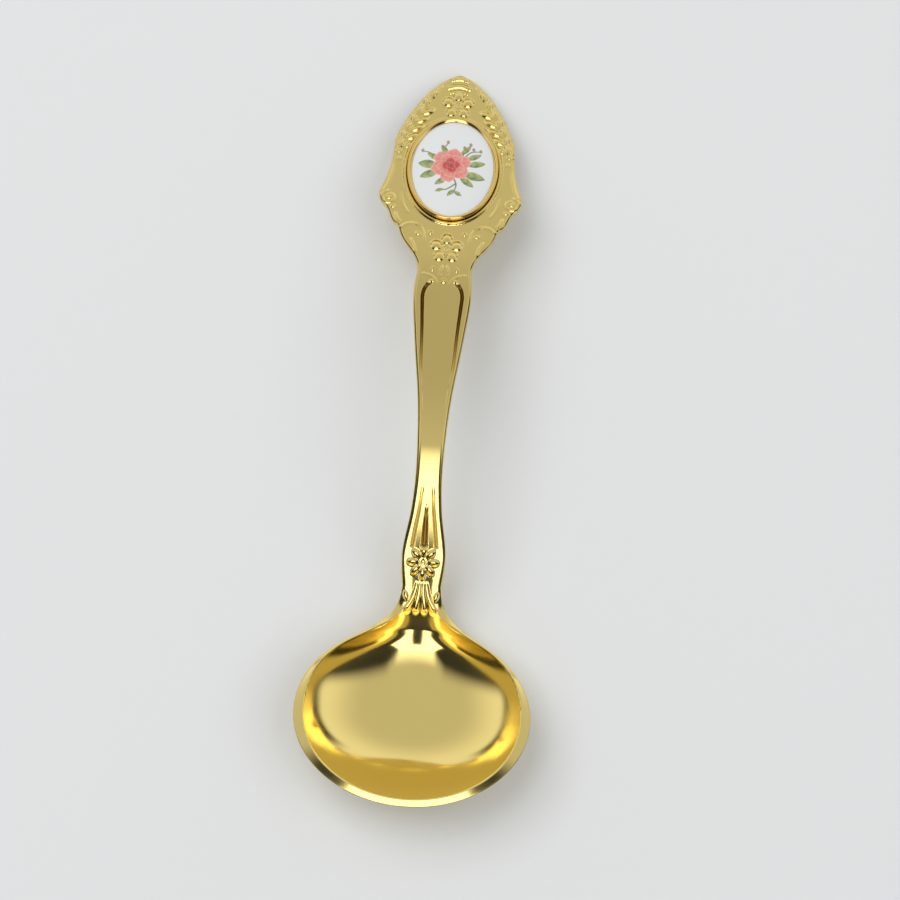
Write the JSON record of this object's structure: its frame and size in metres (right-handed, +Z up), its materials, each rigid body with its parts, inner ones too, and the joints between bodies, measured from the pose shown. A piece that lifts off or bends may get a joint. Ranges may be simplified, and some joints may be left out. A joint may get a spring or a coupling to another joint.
{
  "type": "sugar spoon",
  "caption": "Gilded sugar spoon with a wide oval bowl, a waisted arched stem and an ornate head that holds a domed porcelain plaque in a bezel.",
  "frame": {"origin": "middle of the spoon's bounding box, on the table plane that the bowl's foot and the crest of the handle rest on", "axes": "+Y along the spoon from the bowl to the crest of the handle, +Z up out of the bowl, +X to the right seen from the bowl's end"},
  "size_m": [0.035, 0.1152, 0.016],
  "materials": {
    "gilt_metal": "polished gold plating on struck metal",
    "gilt_bezel": "polished gold plating, plain rolled ring",
    "adhesive": "set clear-cream adhesive",
    "porcelain": "white glaze with a fired flower spray"
  },
  "bodies": {
    "root": {"spoon_body": "gilt_metal", "bezel_ring": "gilt_bezel", "adhesive_bed": "adhesive", "porcelain_plaque": "porcelain"}
  },
  "joints": []
}
